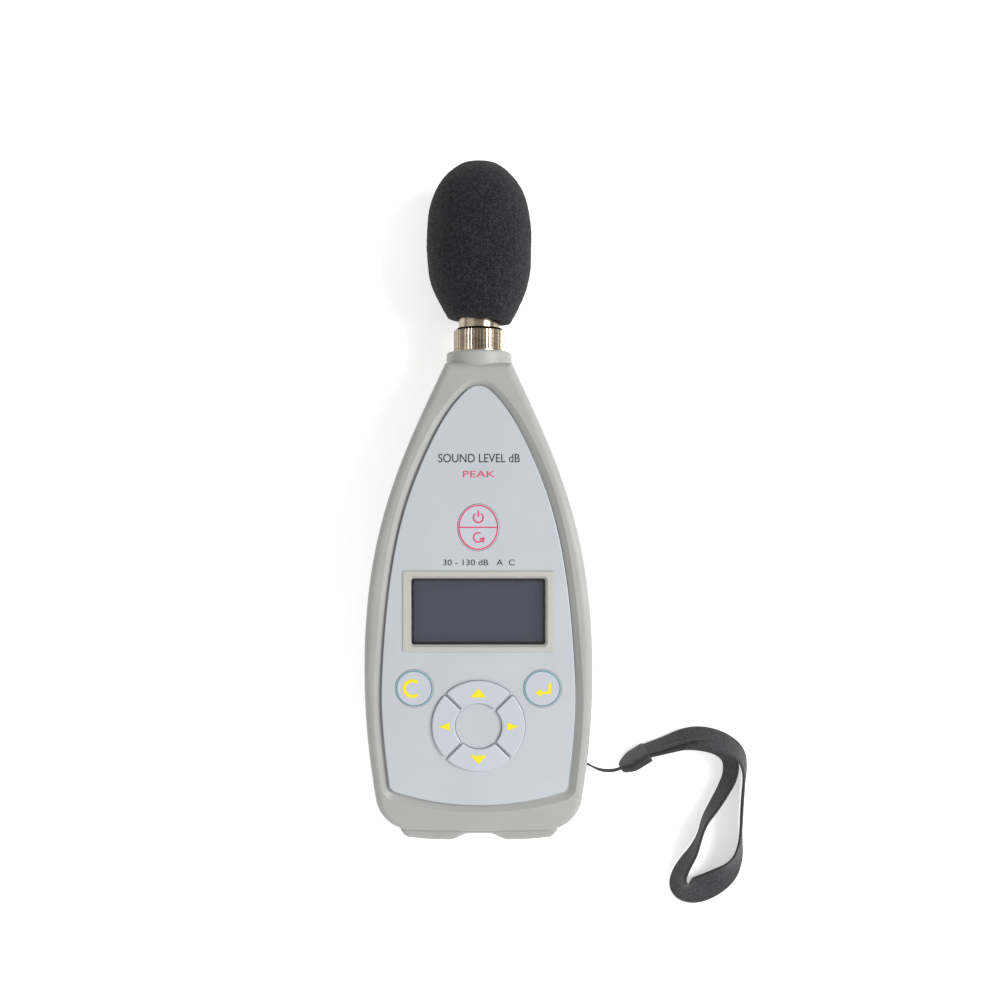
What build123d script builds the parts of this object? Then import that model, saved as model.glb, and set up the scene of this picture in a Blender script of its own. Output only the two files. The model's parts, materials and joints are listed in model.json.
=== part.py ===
from build123d import *
from math import cos, radians, sin, tan
import os

# Hand-held sound level meter lying on its back, millimetres.
# +Z is out of the face, +Y towards the microphone, +X to the right of the face.
# The origin is under the middle of the meter and its windscreen, on the surface it lies on.

# Overall sizes
BODY_W = 69.2
BODY_END_Y = -106.0
WINDSCREEN_TOP_Y = 106.0
SHOULDER_Y = 41.5
COLLAR_TOP_Y = 45.5
COLLAR_R = 10.2
MIC_Z = 17.2

# The face is one shallow arch about an X axis, and the back curves up to the neck
ARCH_R = 350.0
CREST_Y = -19.0
CREST_Z = 33.0
BACK_CURVE_R = 132.0

# Casing
SPLIT_Z = MIC_Z
WALL = 2.2
FRONT_EDGE_R = 2.6
BACK_EDGE_R = 3.5
BODY_CORNER_R = 11.5
RIM_DEPTH = 3.5
SHELF_W = 1.6
VALLEY_W = 2.2
VALLEY_DEPTH = 1.3
LIP_H = 1.5
LIP_T = 1.0
FIT = 0.1

# Port end: a lower ledge with a notch for the plug
LEDGE_HALF_W = 24.2
LEDGE_TOP_Z = 20.4
NOTCH_Y = -104.0
PORT_Z = 12.0
PORT_W = 7.7
PORT_H = 3.9
PORT_L = 9.0
PORT_BOARD_T = 1.0

# Front panel
PANEL_T = 2.0
PANEL_GAP = 0.2
PANEL_CORNER_R = 3.0
FOOT_RISE = 4.8

# Display
LCD_Y = -33.9
BEZEL_W = 45.5
BEZEL_H = 24.5
BEZEL_PROUD = 0.45
BEZEL_DEPTH = 1.0
WINDOW_W = 40.3
WINDOW_H = 20.0
PANE_W = 42.6
PANE_H = 22.0
PANE_T = 1.2
GLASS_T = 2.2
GLASS_Z = 27.2

# Keys
KEY_GAP = 0.12
KEY_TRAVEL = 0.5
KEY_PROUD = 0.15
KEY_DEPTH = PANEL_T + 0.05
FLANGE_W = 0.7
PAD_FLANGE_W = 0.25
KEY_ROUNDING = 0.12
PAD_ROUNDING = 0.45
FLANGE_T = 0.8
STEM_R = 1.5
POWER_Y = -8.6
POWER_W = 12.4
POWER_H = 14.0
SIDE_KEY_X = 19.3
SIDE_KEY_Y = -57.2
SIDE_KEY_D = 11.5
PAD_Y = -68.8
PAD_R = 14.1
PAD_HOLE_R = 7.1
PAD_GROOVE = 0.7
PAD_PROUD = 0.9
PAD_STEM_R = 10.6

# Boards
BOARD_Z = 20.0
BOARD_T = 1.6
BOARD_TOP = BOARD_Z + BOARD_T
BOARD_END_Y = 16.5
BOARD_INSET = 2.6
SWITCH_H = 0.5
BOARD_SCREWS = [(7.5, 12.0), (24.6, -49.6), (19.5, -85.0)]
OVERLOAD_Y = 7.4

# Batteries: four AA cells side by side
CELL_D = 14.2
CELL_BODY_L = 49.5
CELL_NUB_L = 1.0
CELL_PITCH = 14.4
CELL_Z = 9.5
BAY_HALF_W = 28.9
BAY_TOP_Y = -33.0
BAY_END_Y = -88.4
BAY_WALL = 1.2
BAY_ROOF_Z = 17.0
CONTACT_T = 0.4
COVER_T = 2.0
COVER_GAP = 0.2
TAB_X = CELL_PITCH
TAB_W = 6.0
TAB_T = 1.2
TAB_ROOM = 2.2

# Case screws and tripod thread
CASE_SCREWS = [(13.5, 20.0), (20.5, -96.5)]
SCREW_R = 1.45
SCREW_HEAD_R = 2.6
SCREW_HEAD_Z = 3.4
BOSS_R = 3.2
TRIPOD_Y = -12.0
TRIPOD_R = 2.6
INSERT_R = 4.5
INSERT_L = 8.0

# Microphone, preamplifier and their coupling
BUSHING_R = 7.0
BUSHING_BORE_R = 5.7
BUSHING_BACK_Y = 33.5
BUSHING_TOP_Y = 51.0
FLANGE_TOP_Y = COLLAR_TOP_Y + 0.5
LOCK_NUT_R = 8.2
LOCK_NUT_T = 3.0
NUT_R = 7.95
NUT_TOP_Y = 53.1
KNURLS = 48
MIC_R = 6.35
BARREL_TOP_Y = 70.5
CAPSULE_TOP_Y = 80.5
GRID_TOP_Y = 84.5
RUN_FIT = 0.05

# Windscreen
SCREEN_BASE_Y = 55.0

# Wrist strap: thread through two holes in the right wall, clasp and a webbing loop
STRAP_Y = -84.2
STRAP_HOLE_R = 0.9
STRAP_BAR_X = 31.5
STRAP_LOW_Z = 7.0
STRAP_HIGH_Z = 10.0
THREAD_D = 0.6
WEB_W = 9.5
WEB_T = 1.0
WEB_SPACING = 1.5
WEB_SECTIONS = 56
CLASP_NOSE = (45.4, -87.0)
CLASP_BACK = (54.1, -81.6)
CLASP_Z = 5.4
CLASP_LEAN = 75.0
CLASP_T = 3.4
CLASP_NOSE_W = 4.4
CLASP_TAPER = 0.35
CLASP_ROUNDING = 0.8

# Route of the thread: out of the clasp, through the wall, round inside it and back
THREAD_ROUTE = [
    (48.2, -85.9, 4.9), (45.2, -87.6, 4.9), (41.8, -88.2, 5.2), (38.2, -87.4, 6.1), (35.0, -85.3, 6.9),
    (32.6, -84.2, 7.0), (30.9, -84.2, 7.0), (30.9, -84.2, 10.0), (32.6, -84.2, 10.0), (35.0, -84.9, 9.9),
    (38.2, -86.5, 8.8), (41.8, -87.2, 7.1), (45.2, -86.8, 6.0), (48.2, -85.1, 5.8),
]

# Route of the webbing from the clasp and back to it: x, y, lean of its width from flat, and
# height of its lower edge above the surface that the meter lies on
WEB_ROUTE = [
    (60.2, -79.5, 68, 0.6), (65.4, -77.5, 58, 1.5), (70.4, -76.6, 52, 2.8), (75.2, -77.2, 52, 3.4),
    (80.0, -79.0, 56, 3.2), (84.0, -82.0, 64, 2.2), (85.6, -87.0, 74, 0.8), (85.2, -92.6, 78, 0.3),
    (84.7, -98.8, 79, 0.3), (84.4, -105.3, 79, 0.3), (84.1, -111.4, 74, 0.3), (83.2, -116.8, 56, 0.3),
    (80.4, -121.8, 28, 0.3), (75.4, -125.6, 13, 0.3), (70.0, -127.7, 11, 0.3), (65.4, -126.9, 34, 0.3),
    (63.9, -122.7, 70, 0.3), (66.0, -118.2, 78, 0.3), (69.0, -114.0, 86, 0.3), (71.0, -109.2, 96, 0.3),
    (72.4, -104.2, 92, 0.3), (75.4, -99.6, 84, 0.3), (78.4, -94.6, 80, 0.3), (80.9, -89.6, 74, 0.3),
    (81.2, -84.6, 66, 0.3), (78.0, -81.2, 60, 0.3), (73.0, -79.6, 56, 0.3), (67.4, -79.4, 60, 0.3),
    (61.2, -80.6, 68, 0.3),
]


# Shared shapes

def along_y(y_from, y_to, radius):
    """A round bar on the microphone axis."""
    middle = (y_from + y_to) / 2
    return Pos(0, middle, MIC_Z) * Rot(90, 0, 0) * Cylinder(radius, abs(y_to - y_from))


def tube_y(y_from, y_to, outer, inner):
    """A round sleeve on the microphone axis."""
    return along_y(y_from, y_to, outer) - along_y(y_from, y_to, inner)


def block(x_from, x_to, y_from, y_to, z_from, z_to):
    """A box given by its lowest and highest corners."""
    size = (x_to - x_from, y_to - y_from, z_to - z_from)
    centre = ((x_from + x_to) / 2, (y_from + y_to) / 2, (z_from + z_to) / 2)
    return Pos(*centre) * Box(*size)


def post(x, y, z_from, z_to, radius):
    """An upright round bar."""
    return Pos(x, y, (z_from + z_to) / 2) * Cylinder(radius, z_to - z_from)


def under_arch(height):
    """Everything below the face's arch, moved out of the face by height."""
    return Pos(0, CREST_Y, CREST_Z - ARCH_R) * Rot(0, 90, 0) * Cylinder(ARCH_R + height, 4 * BODY_W)


def arch_layer(face, low, high):
    """An upright prism of the face's outline between two heights above the arch."""
    return extrude(face, 2 * CREST_Z) & (under_arch(high) - under_arch(low))


def above_back(height):
    """Everything above the back's surface, moved inwards by height."""
    flat = block(-2 * BODY_W, 2 * BODY_W, 2 * BODY_END_Y, 0, height, 3 * CREST_Z)
    curved = Pos(0, 0, BACK_CURVE_R) * Rot(0, 90, 0) * Cylinder(BACK_CURVE_R - height, 4 * BODY_W)
    return flat + curved


def top_face(shape):
    """The largest face that looks up."""
    return max((face for face in shape.faces() if face.normal_at().Z > 0.9), key=lambda face: face.area)


def both_sides(places):
    """The same places on the right and on the left of the meter."""
    return [(side * x, y) for x, y in places for side in (1, -1)]


def symmetric_face(side, *middle):
    """A face whose right edge is mirrored to the left, closed by edges across the middle."""
    left = mirror(side, about=Plane.YZ).edge()
    return make_face(Wire([side, left, *middle]))


def moved_edge(edge, distance):
    """One edge of a convex outline, moved outwards, or inwards if distance is negative."""
    middle = Vector(0, CREST_Y)
    steps = 2 if edge.geom_type == GeomType.CIRCLE else 16
    places = []
    for step in range(steps + 1):
        place = edge @ (step / steps)
        going = edge % (step / steps)
        out = Vector(going.Y, -going.X)
        if out.dot(place - middle) < 0:
            out = -out
        places.append(place + out * distance)
    if steps == 2:
        return ThreePointArc(*places)
    return Spline(*places, tangents=(edge % 0, edge % 1))


def moved_face(face, distance):
    """A smooth outline moved outwards or inwards; a straight edge is drawn again across the gap."""
    edges = [moved_edge(edge, distance) for edge in face.edges() if edge.geom_type != GeomType.LINE]
    if len(edges) < len(face.edges()):
        tops = sorted((edge.position_at(end) for edge in edges for end in (0, 1)), key=lambda place: -place.Y)
        edges.append(Line(tops[0], tops[1]))
    return make_face(Wire(edges))


def body_face(inset=0):
    """The casing seen from the front, without its collar and port ledge, moved inwards by inset."""
    side = Spline((8.2, 46.0), (COLLAR_R, SHOULDER_Y), (21.3, 16.5), (30.9, -14.1),
                  (BODY_W / 2, -54.0), (30.3, -102.3), tangents=((0.44, -1), (-0.16, -1)))
    neck = Line((-8.2, 46.0), (8.2, 46.0))
    end = ThreePointArc((30.3, -102.3), (0, -102.8), (-30.3, -102.3))
    face = symmetric_face(side, neck, end)
    face = fillet(face.vertices().sort_by(Axis.Y)[:2], BODY_CORNER_R)
    if inset:
        face = moved_face(face, -inset)
    room = Pos(0, SHOULDER_Y - inset - BODY_W * 2) * Rectangle(BODY_W * 2, BODY_W * 4)
    return face & room


def pointed_arch(tip_w, tip_y, peak_y, side_points, foot_w, foot_y, corner_r):
    """A pointed arch with a round tip, curved sides and round lower corners."""
    tip = ThreePointArc((-tip_w, tip_y), (0, peak_y), (tip_w, tip_y))
    side = Spline((tip_w, tip_y), *side_points, (foot_w, foot_y), tangents=(tip % 1, (-0.11, -1)))
    end = ThreePointArc((foot_w, foot_y), (0, foot_y - FOOT_RISE), (-foot_w, foot_y))
    face = symmetric_face(side, tip, end)
    return fillet(face.vertices().sort_by(Axis.Y)[:2], corner_r)


def panel_face(grown=0):
    """The front panel's outline, moved outwards by grown."""
    side_points = [(14.6, 16.3), (23.6, -8.9), (28.9, -50.0)]
    face = pointed_arch(3.4, 33.0, 34.3, side_points, 27.2, -89.2, PANEL_CORNER_R)
    return moved_face(face, grown) if grown else face


def valley_cutter():
    """The sloped band that leads down to the panel: wider than the panel at the top, level with it below."""
    side_points = [(16.9, 17.4), (25.95, -8.3), (31.3, -50.0)]
    face = pointed_arch(4.9, 34.75, 36.65, side_points, 29.6, -91.6, PANEL_CORNER_R + VALLEY_W)
    cutter = arch_layer(face, -VALLEY_DEPTH, 5)
    floor = cutter.faces().filter_by(lambda side: side.normal_at().Z < -0.9)[0]
    return cutter.chamfer(VALLEY_W, VALLEY_DEPTH * 1.1, floor.edges(), floor)


def ledge_face():
    """The port ledge: two soft feet with a notch between them."""
    foot = Spline((9.5, BODY_END_Y), (2.6, NOTCH_Y), tangents=((-1, 0), (-1, 0)))
    outer = ThreePointArc((LEDGE_HALF_W - 2.2, -105.2), (16, -105.8), (9.5, BODY_END_Y))
    corner = ThreePointArc((LEDGE_HALF_W + 0.6, -101.6), (LEDGE_HALF_W - 0.3, -103.7),
                           (LEDGE_HALF_W - 2.2, -105.2))
    right = [foot, outer, corner]
    left = [mirror(edge, about=Plane.YZ).edge() for edge in right]
    notch = Line((2.6, NOTCH_Y), (-2.6, NOTCH_Y))
    inside = Polyline((LEDGE_HALF_W + 0.6, -101.6), (LEDGE_HALF_W + 0.6, -96), (-LEDGE_HALF_W - 0.6, -96),
                      (-LEDGE_HALF_W - 0.6, -101.6))
    return make_face(Wire([*right, *left, notch, *inside.edges()]))


# Casing

def body_blank():
    """The whole casing as one solid block, before it is split and hollowed."""
    blank = extrude(body_face(), 2 * CREST_Z) & under_arch(0) & above_back(0)
    face = blank.faces().sort_by(Axis.Z)[-1]
    blank = fillet(face.edges(), FRONT_EDGE_R)
    backs = [face for face in blank.faces() if face.normal_at().Z < -0.9]
    edges = [edge for face in backs for edge in face.edges()]
    border = [edge for edge in edges if sum(edge.is_same(other) for other in edges) == 1]
    blank = fillet(border, BACK_EDGE_R)
    ledge = extrude(ledge_face(), LEDGE_TOP_Z)
    ledge = fillet(ledge.faces().sort_by(Axis.Z)[-1].edges().sort_by(Axis.Y)[:-1], 1.2)
    low_edges = ledge.faces().sort_by(Axis.Z)[0].edges().sort_by(Axis.Y)[:-1]
    ledge = fillet(low_edges, 1.2)
    collar = along_y(SHOULDER_Y - 5, COLLAR_TOP_Y, COLLAR_R)
    collar = fillet(collar.edges().sort_by(Axis.Y)[-1], 0.8)
    return blank + ledge + collar


def hollow(depth_under_arch):
    """The room inside the casing."""
    return extrude(body_face(WALL), 2 * CREST_Z) & under_arch(-depth_under_arch) & above_back(WALL)


def front_shell():
    """Upper casing half: the grey rim round the front panel."""
    shell = body_blank() & block(-BODY_W, BODY_W, 2 * BODY_END_Y, 100, SPLIT_Z, 2 * CREST_Z)
    shell -= hollow(RIM_DEPTH)
    shell -= valley_cutter()
    shell -= arch_layer(panel_face(PANEL_GAP), -PANEL_T, 5)
    shell -= extrude(panel_face(-SHELF_W), 2 * CREST_Z)
    for x, y in both_sides(CASE_SCREWS):
        shell += post(x, y, SPLIT_Z, 2 * CREST_Z, BOSS_R) & under_arch(-PANEL_T - 1)
        shell -= post(x, y, 0, SPLIT_Z + 6.5, SCREW_R)
    shell -= along_y(SHOULDER_Y - 6, SHOULDER_Y - WALL, LOCK_NUT_R + 0.3)
    return shell - along_y(0, COLLAR_TOP_Y + 5, BUSHING_R)


def lip():
    """A thin wall along the seam that keys the two halves together."""
    low = extrude(body_face(WALL - 0.2) - body_face(WALL + LIP_T), SPLIT_Z) - block(
        -BODY_W, BODY_W, 2 * BODY_END_Y, 100, 0, SPLIT_Z - LIP_H)
    high = extrude(body_face(WALL + FIT) - body_face(WALL + LIP_T), SPLIT_Z + LIP_H)
    for x, y in both_sides(CASE_SCREWS):
        high -= post(x, y, SPLIT_Z - 0.1, SPLIT_Z + LIP_H + 1, BOSS_R + FIT)
    return (low + high) & block(-BODY_W, BODY_W, 2 * BODY_END_Y, 33, SPLIT_Z - LIP_H, SPLIT_Z + LIP_H)


def battery_bay():
    """The walls and roof of the battery bay."""
    outer = block(-BAY_HALF_W - BAY_WALL, BAY_HALF_W + BAY_WALL, BAY_END_Y - BAY_WALL,
                  BAY_TOP_Y + BAY_WALL, 1, BAY_ROOF_Z + BAY_WALL)
    outer -= block(-BAY_HALF_W, BAY_HALF_W, BAY_END_Y, BAY_TOP_Y, 0, BAY_ROOF_Z)
    return outer


def rear_shell():
    """Lower casing half: battery bay, screw bosses, tripod boss and strap holes."""
    shell = body_blank() & block(-BODY_W, BODY_W, 2 * BODY_END_Y, 100, -1, SPLIT_Z)
    shell -= hollow(0)
    shell += lip()
    shell -= along_y(SHOULDER_Y - 6, SHOULDER_Y - WALL, LOCK_NUT_R + 0.3)
    shell -= along_y(0, COLLAR_TOP_Y + 5, BUSHING_R)
    shell += battery_bay()
    shell -= block(-BAY_HALF_W, BAY_HALF_W, BAY_END_Y, BAY_TOP_Y, -1, BAY_ROOF_Z)
    for side in (1, -1):
        shell -= block(side * TAB_X - TAB_W / 2 - 0.3, side * TAB_X + TAB_W / 2 + 0.3,
                       BAY_TOP_Y - 1, BAY_TOP_Y + BAY_WALL + 1, COVER_T - 0.1, COVER_T + TAB_ROOM)
    for x, y in both_sides(CASE_SCREWS):
        shell += post(x, y, 1, SPLIT_Z, BOSS_R) & above_back(WALL / 2)
        shell -= post(x, y, -1, SCREW_HEAD_Z, SCREW_HEAD_R + 0.2)
        shell -= post(x, y, -1, SPLIT_Z + 1, SCREW_R + 0.2)
    shell += post(0, TRIPOD_Y, 1, INSERT_L + 0.8, INSERT_R + 1.8)
    shell -= post(0, TRIPOD_Y, -1, INSERT_L, INSERT_R)
    for side in (1, -1):
        shell += post(side * 8.2, -96.0, 1, PORT_Z - PORT_H / 2 - PORT_BOARD_T, 1.6)
        shell -= terminal_slot(side)
    shell -= block(-PORT_W / 2 - 0.2, PORT_W / 2 + 0.2, BODY_END_Y - 1, BAY_END_Y - 5,
                   PORT_Z - PORT_H / 2 - 0.2, PORT_Z + PORT_H / 2 + 0.2) & block(
        -9, 9, BODY_END_Y - 1, -100, 0, SPLIT_Z)
    for height in (STRAP_LOW_Z, STRAP_HIGH_Z):
        shell -= Pos(STRAP_BAR_X + 2.4, STRAP_Y, height) * Rot(0, 90, 0) * Cylinder(STRAP_HOLE_R, 5)
    shell -= block(STRAP_BAR_X - 1.3, STRAP_BAR_X, STRAP_Y - STRAP_HOLE_R, STRAP_Y + STRAP_HOLE_R,
                   STRAP_LOW_Z - STRAP_HOLE_R, STRAP_HIGH_Z + STRAP_HOLE_R)
    return shell


def terminal_slot(side):
    """The slot in the bay's wall that one end contact's tag passes through."""
    x = side * 1.5 * CELL_PITCH
    return block(x - 1.6, x + 1.6, BAY_TOP_Y - 0.5, BAY_TOP_Y + BAY_WALL + 0.5, 14.4, 15.6)


def battery_cover():
    """The lid over the batteries, with two tabs that it tilts on and a snap finger."""
    lid = block(-BAY_HALF_W + COVER_GAP, BAY_HALF_W - COVER_GAP, BAY_END_Y + COVER_GAP,
                BAY_TOP_Y - COVER_GAP, 0, COVER_T)
    lid = fillet(lid.edges().filter_by(Axis.Z), 1.2)
    for side in (1, -1):
        lid += block(side * TAB_X - TAB_W / 2, side * TAB_X + TAB_W / 2, BAY_TOP_Y - 3.5,
                     BAY_TOP_Y + 1.6, COVER_T, COVER_T + TAB_T)
        lid -= block(side * 6 - 0.5, side * 6 + 0.5, BAY_END_Y - 1, BAY_END_Y + 9, -1, COVER_T + 1)
    lid += block(-4.5, 4.5, BAY_END_Y + COVER_GAP, BAY_END_Y + 1.4, COVER_T - 0.5, COVER_T + 1.1)
    for step in range(5):
        groove = block(-9, 9, BAY_END_Y + 13 + 2.2 * step, BAY_END_Y + 14 + 2.2 * step, -1, 0.5)
        lid -= groove
    return lid


def case_screw(x, y):
    """A pan-head screw from the back into the front half's boss."""
    head = post(x, y, SCREW_HEAD_Z - 2.0, SCREW_HEAD_Z, SCREW_HEAD_R)
    cross = Box(3.2, 0.7, 1.2) + Box(0.7, 3.2, 1.2)
    return head + post(x, y, SCREW_HEAD_Z, SPLIT_Z + 6.0, SCREW_R) - Pos(x, y, SCREW_HEAD_Z - 2.0) * cross


def case_screws():
    return [case_screw(x, y) for x, y in both_sides(CASE_SCREWS)]


def tripod_insert():
    """A brass bush with a quarter-inch camera thread, shown as its bore."""
    return post(0, TRIPOD_Y, 0, INSERT_L, INSERT_R) - post(0, TRIPOD_Y, -1, INSERT_L - 1, TRIPOD_R)


# Front panel and display

def rounded_rect(width, height, radius):
    return Pos(0, LCD_Y) * RectangleRounded(width, height, radius)


def pad_sectors(grown):
    """The four arrow keys' outlines, in the order right, up, left, down."""
    ring = Circle(PAD_R) - Circle(PAD_HOLE_R)
    for turn in (45, -45):
        ring -= Rot(0, 0, turn) * Rectangle(3 * PAD_R, PAD_GROOVE)
    right = Sketch() + ring.faces().sort_by(Axis.X)[-1]
    right = fillet(right.vertices(), 0.6)
    if grown:
        right = offset(right, grown)
    return [Pos(0, PAD_Y) * Rot(0, 0, 90 * turn) * right for turn in range(4)]


def key_faces(grown=0):
    """Every key's outline by its name, moved outwards by grown."""
    right, up, left, down = pad_sectors(grown)
    return {
        "key_power": Pos(0, POWER_Y) * Ellipse(POWER_W / 2 + grown, POWER_H / 2 + grown),
        "key_cancel": Pos(-SIDE_KEY_X, SIDE_KEY_Y) * Circle(SIDE_KEY_D / 2 + grown),
        "key_enter": Pos(SIDE_KEY_X, SIDE_KEY_Y) * Circle(SIDE_KEY_D / 2 + grown),
        "key_right": right,
        "key_up": up,
        "key_left": left,
        "key_down": down,
    }


def key_stems():
    """Where each key presses its switch."""
    return {
        "key_power": (0, POWER_Y),
        "key_cancel": (-SIDE_KEY_X, SIDE_KEY_Y),
        "key_enter": (SIDE_KEY_X, SIDE_KEY_Y),
        "key_right": (PAD_STEM_R, PAD_Y),
        "key_up": (0, PAD_Y + PAD_STEM_R),
        "key_left": (-PAD_STEM_R, PAD_Y),
        "key_down": (0, PAD_Y - PAD_STEM_R),
    }


def front_panel():
    """The light grey arched panel, with its key holes, display pocket and board posts."""
    panel = arch_layer(panel_face(), -PANEL_T, 0)
    top = panel.faces().sort_by(Axis.Z)[-1]
    panel = fillet(top.edges(), 0.35)
    for face in key_faces(KEY_GAP).values():
        panel -= arch_layer(face, -PANEL_T - 1, 1)
    panel -= arch_layer(rounded_rect(BEZEL_W + FIT, BEZEL_H + FIT, 0.7), -BEZEL_DEPTH, 1)
    panel -= arch_layer(rounded_rect(PANE_W + 2 * FIT, PANE_H + 2 * FIT, 0.5), -PANEL_T - 1, 1)
    for x, y in both_sides(BOARD_SCREWS):
        panel += post(x, y, BOARD_TOP, 2 * CREST_Z, 2.3) & under_arch(-PANEL_T / 2)
        panel -= post(x, y, 0, BOARD_TOP + 2.5, 1.1)
    return panel


def lcd_bezel():
    """The bright bevelled frame round the display."""
    bezel = arch_layer(rounded_rect(BEZEL_W, BEZEL_H, 0.6), -BEZEL_DEPTH, BEZEL_PROUD)
    bezel = chamfer(bezel.faces().sort_by(Axis.Z)[-1].edges(), 0.3)
    bezel -= arch_layer(rounded_rect(WINDOW_W, WINDOW_H, 0.8), -PANEL_T, 2)
    top = top_face(bezel)
    return bezel.chamfer(0.7, 0.9, top.inner_wires()[0].edges(), top)


def lcd_window():
    """The clear pane behind the bezel."""
    return arch_layer(rounded_rect(PANE_W, PANE_H, 0.4), -BEZEL_DEPTH - PANE_T, -BEZEL_DEPTH)


def lcd_mask():
    """The black border between the pane and the display."""
    outer = rounded_rect(PANE_W - 1, PANE_H - 1, 0.4)
    inner = rounded_rect(WINDOW_W - 1.6, WINDOW_H - 1.5, 0.5)
    low = -BEZEL_DEPTH - PANE_T - 0.2
    return arch_layer(outer - inner, low, low + 0.2)


def lcd_glass():
    """The display's glass sandwich."""
    return block(-20.6, 20.6, LCD_Y - 10.4, LCD_Y + 10.4, GLASS_Z, GLASS_Z + GLASS_T)


def lcd_holder():
    """The light guide and holder that carries the glass on the board."""
    holder = block(-21.4, 21.4, LCD_Y - 11.6, LCD_Y + 11.6, BOARD_TOP, GLASS_Z)
    return holder - block(-19.4, 19.4, LCD_Y - 9.4, LCD_Y + 9.4, BOARD_TOP - 1, GLASS_Z - 2.4)


def key(name):
    """One key: cap, flange that keeps it behind the panel, and stem."""
    on_pad = name in ("key_right", "key_up", "key_left", "key_down")
    cap = arch_layer(key_faces()[name], -KEY_DEPTH - FLANGE_T, PAD_PROUD if on_pad else KEY_PROUD)
    cap = fillet(top_face(cap).edges(), PAD_ROUNDING if on_pad else KEY_ROUNDING)
    skirt = key_faces(PAD_FLANGE_W if on_pad else FLANGE_W)[name]
    flange = arch_layer(skirt, -KEY_DEPTH - FLANGE_T, -KEY_DEPTH)
    x, y = key_stems()[name]
    stem = post(x, y, BOARD_TOP + SWITCH_H + KEY_TRAVEL + 0.05, CREST_Z, STEM_R)
    return cap + flange + (stem & under_arch(-KEY_DEPTH))


# Boards and electronics

def main_board():
    """The circuit board under the panel."""
    board = extrude(panel_face(-BOARD_INSET), BOARD_T) & block(-BODY_W, BODY_W, BODY_END_Y, BOARD_END_Y, -1, 5)
    board = Pos(0, 0, BOARD_Z) * board
    for x, y in both_sides(BOARD_SCREWS):
        board -= post(x, y, BOARD_Z - 1, BOARD_TOP + 1, 1.3)
    return board


def board_screws():
    """Small screws that hold the board on the panel's posts."""
    screws = []
    for x, y in both_sides(BOARD_SCREWS):
        shank = post(x, y, BOARD_Z, BOARD_TOP + 2.3, 1.1)
        screws.append(shank + post(x, y, BOARD_Z - 1.2, BOARD_Z, 1.9))
    return screws


def dome_switches():
    """One metal snap dome on the board under each key."""
    domes = []
    for x, y in key_stems().values():
        dome = post(x, y, BOARD_TOP, BOARD_TOP + SWITCH_H, 2.4)
        domes.append(chamfer(dome.edges().sort_by(Axis.Z)[-1], 0.35))
    return domes


def board_chips():
    """Processor, memory, converter and regulator on the board."""
    places = [(0, -16.8, 8.0, 8.0, 1.2), (-10.5, -15.5, 5.0, 6.0, 1.1),
              (10.5, -15.5, 6.0, 5.0, 1.4), (0, -50.2, 10.0, 4.0, 1.5)]
    return [block(x - w / 2, x + w / 2, y - d / 2, y + d / 2, BOARD_Z - h, BOARD_Z)
            for x, y, w, d, h in places]


def analog_shield():
    """A tin can over the microphone amplifier, open towards the board."""
    can = block(-6.0, 6.0, -8.5, 4.5, BOARD_Z - 2.2, BOARD_Z)
    can = fillet(can.edges().filter_by(Axis.Z), 0.8)
    return can - block(-5.7, 5.7, -8.2, 4.2, BOARD_Z - 1.9, BOARD_Z + 1)


def clock_cell():
    """The coin cell that keeps the clock running."""
    return post(-13.5, -26.0, BOARD_Z - 2.0, BOARD_Z, 5.0)


def mic_connector():
    """The socket on the board's underside for the microphone lead."""
    return block(-3.5, 3.5, 8.5, 14.0, BOARD_Z - 3.2, BOARD_Z)


def overload_led():
    return block(-1.6, 1.6, OVERLOAD_Y - 1.0, OVERLOAD_Y + 1.0, BOARD_TOP, BOARD_TOP + 1.0)


def overload_light_pipe():
    """A clear rod that carries the overload light to the back of the panel."""
    return post(0, OVERLOAD_Y, BOARD_TOP + 1.0, CREST_Z, 1.8) & under_arch(-PANEL_T)


def port_board():
    """The small board that carries the socket, on two posts."""
    low = PORT_Z - PORT_H / 2 - PORT_BOARD_T
    return block(-10.5, 10.5, -100.0, -91.0, low, low + PORT_BOARD_T)


def usb_socket():
    """A small five-pin data socket, open towards the port end."""
    back = BODY_END_Y + 3.0 + PORT_L
    shell = block(-PORT_W / 2, PORT_W / 2, BODY_END_Y + 3.0, back, PORT_Z - PORT_H / 2, PORT_Z + PORT_H / 2)
    shell = fillet(shell.edges().filter_by(Axis.Y), 0.5)
    shell -= block(-PORT_W / 2 + 0.4, PORT_W / 2 - 0.4, BODY_END_Y, back - 1.5,
                   PORT_Z - PORT_H / 2 + 0.4, PORT_Z + PORT_H / 2 - 0.4)
    return shell + block(-2.6, 2.6, BODY_END_Y + 4.2, back - 1.4, PORT_Z - 0.5, PORT_Z + 0.5)


def port_lead():
    """The flat cable from the port board up to the main board."""
    low = PORT_Z - PORT_H / 2
    path = FilletPolyline((0, -91.6, low), (0, -91.6, 13.0), (0, -90.8, 16.5), (0, -90.8, BOARD_Z), radius=2.0)
    section = Plane(origin=path @ 0, z_dir=path % 0, x_dir=(1, 0, 0)) * Rectangle(6.0, 0.4)
    return sweep(section, path)


# Power

def cell(x, turn):
    """One AA cell; turn is 1 with its positive end towards the microphone, or -1."""
    top = BAY_TOP_Y - 2 * CONTACT_T if turn > 0 else BAY_END_Y + 2 * CONTACT_T
    nub = Cylinder(2.7, CELL_NUB_L)
    case = chamfer(Cylinder(CELL_D / 2, CELL_BODY_L).edges(), 0.5)
    nub_y = top - turn * CELL_NUB_L / 2
    case_y = top - turn * (CELL_NUB_L + CELL_BODY_L / 2)
    return Pos(x, nub_y, CELL_Z) * Rot(90, 0, 0) * nub + Pos(x, case_y, CELL_Z) * Rot(90, 0, 0) * case


def cell_places():
    """Each cell's x and which way round it lies."""
    return [((index - 1.5) * CELL_PITCH, 1 if index % 2 == 0 else -1) for index in range(4)]


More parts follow.
